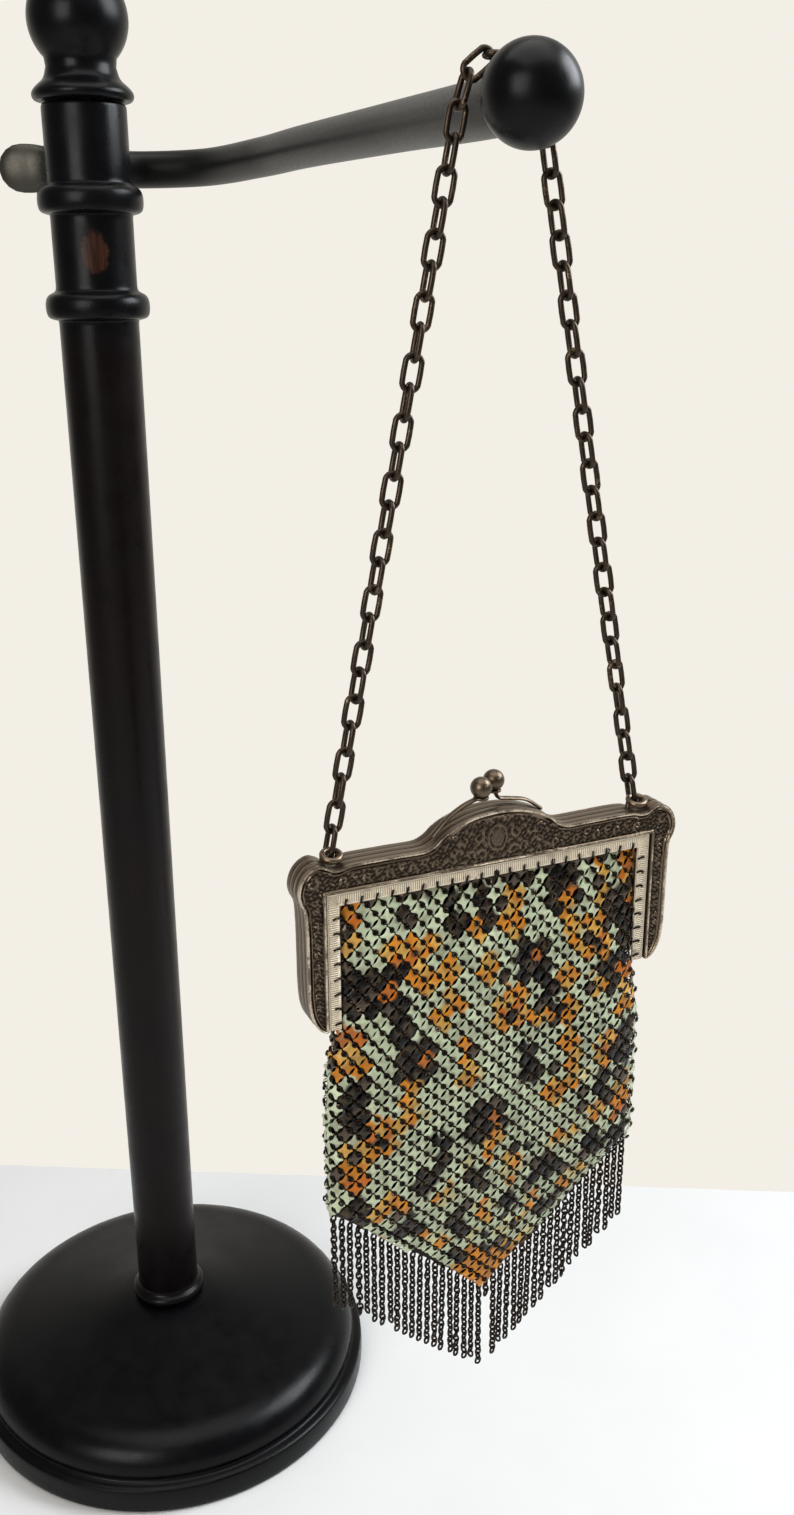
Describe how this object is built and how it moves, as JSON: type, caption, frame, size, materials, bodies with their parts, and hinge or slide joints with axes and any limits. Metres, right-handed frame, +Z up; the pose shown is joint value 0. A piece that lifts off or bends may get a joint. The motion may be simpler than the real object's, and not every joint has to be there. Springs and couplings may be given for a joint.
{
  "type": "metal mesh purse on a display stand",
  "caption": "Flat enamelled metal mesh purse with a kiss-lock frame, chain handle, V-shaped bottom and chain fringe, hanging from the arm of a turned stand.",
  "frame": {"origin": "centre of the underside of the stand's turned base", "axes": "+Z up along the pole; -Y is the side that the purse's front and the arm's ball face; +X is the purse's right as seen from the front"},
  "size_m": [0.16, 0.31, 0.5188],
  "materials": {
    "stand_paint": "satin black paint, rubbed through to red-brown wood at the rim of the foot and low on the pole",
    "arm_metal": "satin black enamel over iron, bare and grey at its flattened end",
    "frame_silver": "aged silver plate with dark sunk grounds and bright worn edges",
    "rail_silver": "pale milled silver strip",
    "mesh_enamel": "semi-gloss enamel in mint, ochre, orange and black on star-shaped plates, chipped at the tips",
    "ring_bronze": "tarnished dark bronze wire rings",
    "chain_bronze": "dark bronze wire with brassy rubbed spots"
  },
  "bodies": {
    "root": {"stand_base": "stand_paint", "stand_column": "stand_paint", "stand_finial": "stand_paint", "arm_ball": "stand_paint", "stand_arm": "arm_metal", "frame_front": "frame_silver", "frame_back": "frame_silver", "rail_front": "rail_silver", "rail_back": "rail_silver", "mesh_bag": "mesh_enamel", "fringe": "ring_bronze", "carry_chain": "chain_bronze"}
  },
  "joints": []
}
